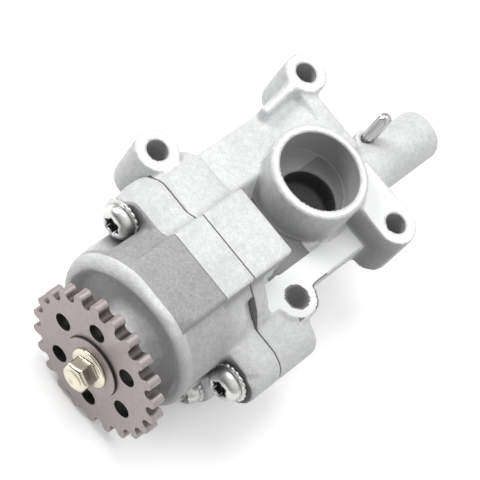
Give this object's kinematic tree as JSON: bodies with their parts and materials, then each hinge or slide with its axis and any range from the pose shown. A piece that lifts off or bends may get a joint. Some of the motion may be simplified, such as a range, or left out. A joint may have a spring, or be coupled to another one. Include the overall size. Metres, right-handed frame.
{
  "type": "engine oil pump",
  "caption": "Rotor type engine oil pump: die cast body and drum shaped cover, chain sprocket on its shaft, large round inlet mouth, mounting posts and a pressure relief tube.",
  "frame": {"origin": "centre of the oil outlet mouth in the mounting plane, straight below the shaft axis line", "axes": "+Y from the sprocket to the rear along the shaft, +Z out of the inlet mouth, +X to the side of the low mounting ear"},
  "size_m": [0.0987, 0.179, 0.066],
  "materials": {
    "cast_aluminium": "as-cast die casting, machined faces brighter",
    "bush_bronze": "sintered bronze",
    "zinc_steel": "clear zinc plated",
    "yellow_zinc": "pale yellow zinc plated",
    "soft_aluminium": "soft sealing ring",
    "seal_rubber": "moulded",
    "ground_steel": "ground",
    "sprocket_steel": "sintered and turned, warm grey",
    "sintered_steel": "sintered, ground faces",
    "spring_steel": "wound wire"
  },
  "bodies": {
    "housing": {"pump_body": "cast_aluminium", "front_cover": "cast_aluminium", "front_bush": "bush_bronze", "rear_bush": "bush_bronze", "cover_screw_1": "zinc_steel", "cover_washer_1": "zinc_steel", "cover_screw_2": "zinc_steel", "cover_washer_2": "zinc_steel", "cover_screw_3": "zinc_steel", "cover_washer_3": "zinc_steel", "cover_screw_4": "zinc_steel", "cover_washer_4": "zinc_steel", "dowel_pin_1": "ground_steel", "dowel_pin_2": "ground_steel", "outlet_seal": "seal_rubber", "relief_plug": "zinc_steel", "relief_seal_washer": "soft_aluminium", "retaining_pin": "zinc_steel"},
    "shaft": {"drive_shaft": "ground_steel", "sprocket": "sprocket_steel", "sprocket_bolt": "yellow_zinc", "sprocket_key": "ground_steel", "inner_rotor": "sintered_steel", "drive_pin": "ground_steel", "thrust_washer": "ground_steel"},
    "outer_rotor": {"outer_rotor": "sintered_steel"},
    "relief_piston": {"relief_piston": "ground_steel", "relief_spring": "spring_steel"}
  },
  "joints": [
    {"name": "shaft_spin", "type": "hinge", "parent": "housing", "child": "shaft", "pos_m": [0, -0.05, 0], "axis": [0, 1, 0], "continuous": true},
    {"name": "outer_rotor_spin", "type": "hinge", "parent": "housing", "child": "outer_rotor", "pos_m": [0, -0.035, -0.00265], "axis": [0, 1, 0], "continuous": true},
    {"name": "relief_slide", "type": "slide", "parent": "housing", "child": "relief_piston", "axis": [0, 1, 0], "range_m": [0, 0.006], "stiffness_N_per_m": 2500, "springref_m": -0.004, "deforming": ["relief_spring"]}
  ],
  "couplings": [
    {"joint": "outer_rotor_spin", "follows": "shaft_spin", "ratio": 0.83333}
  ]
}
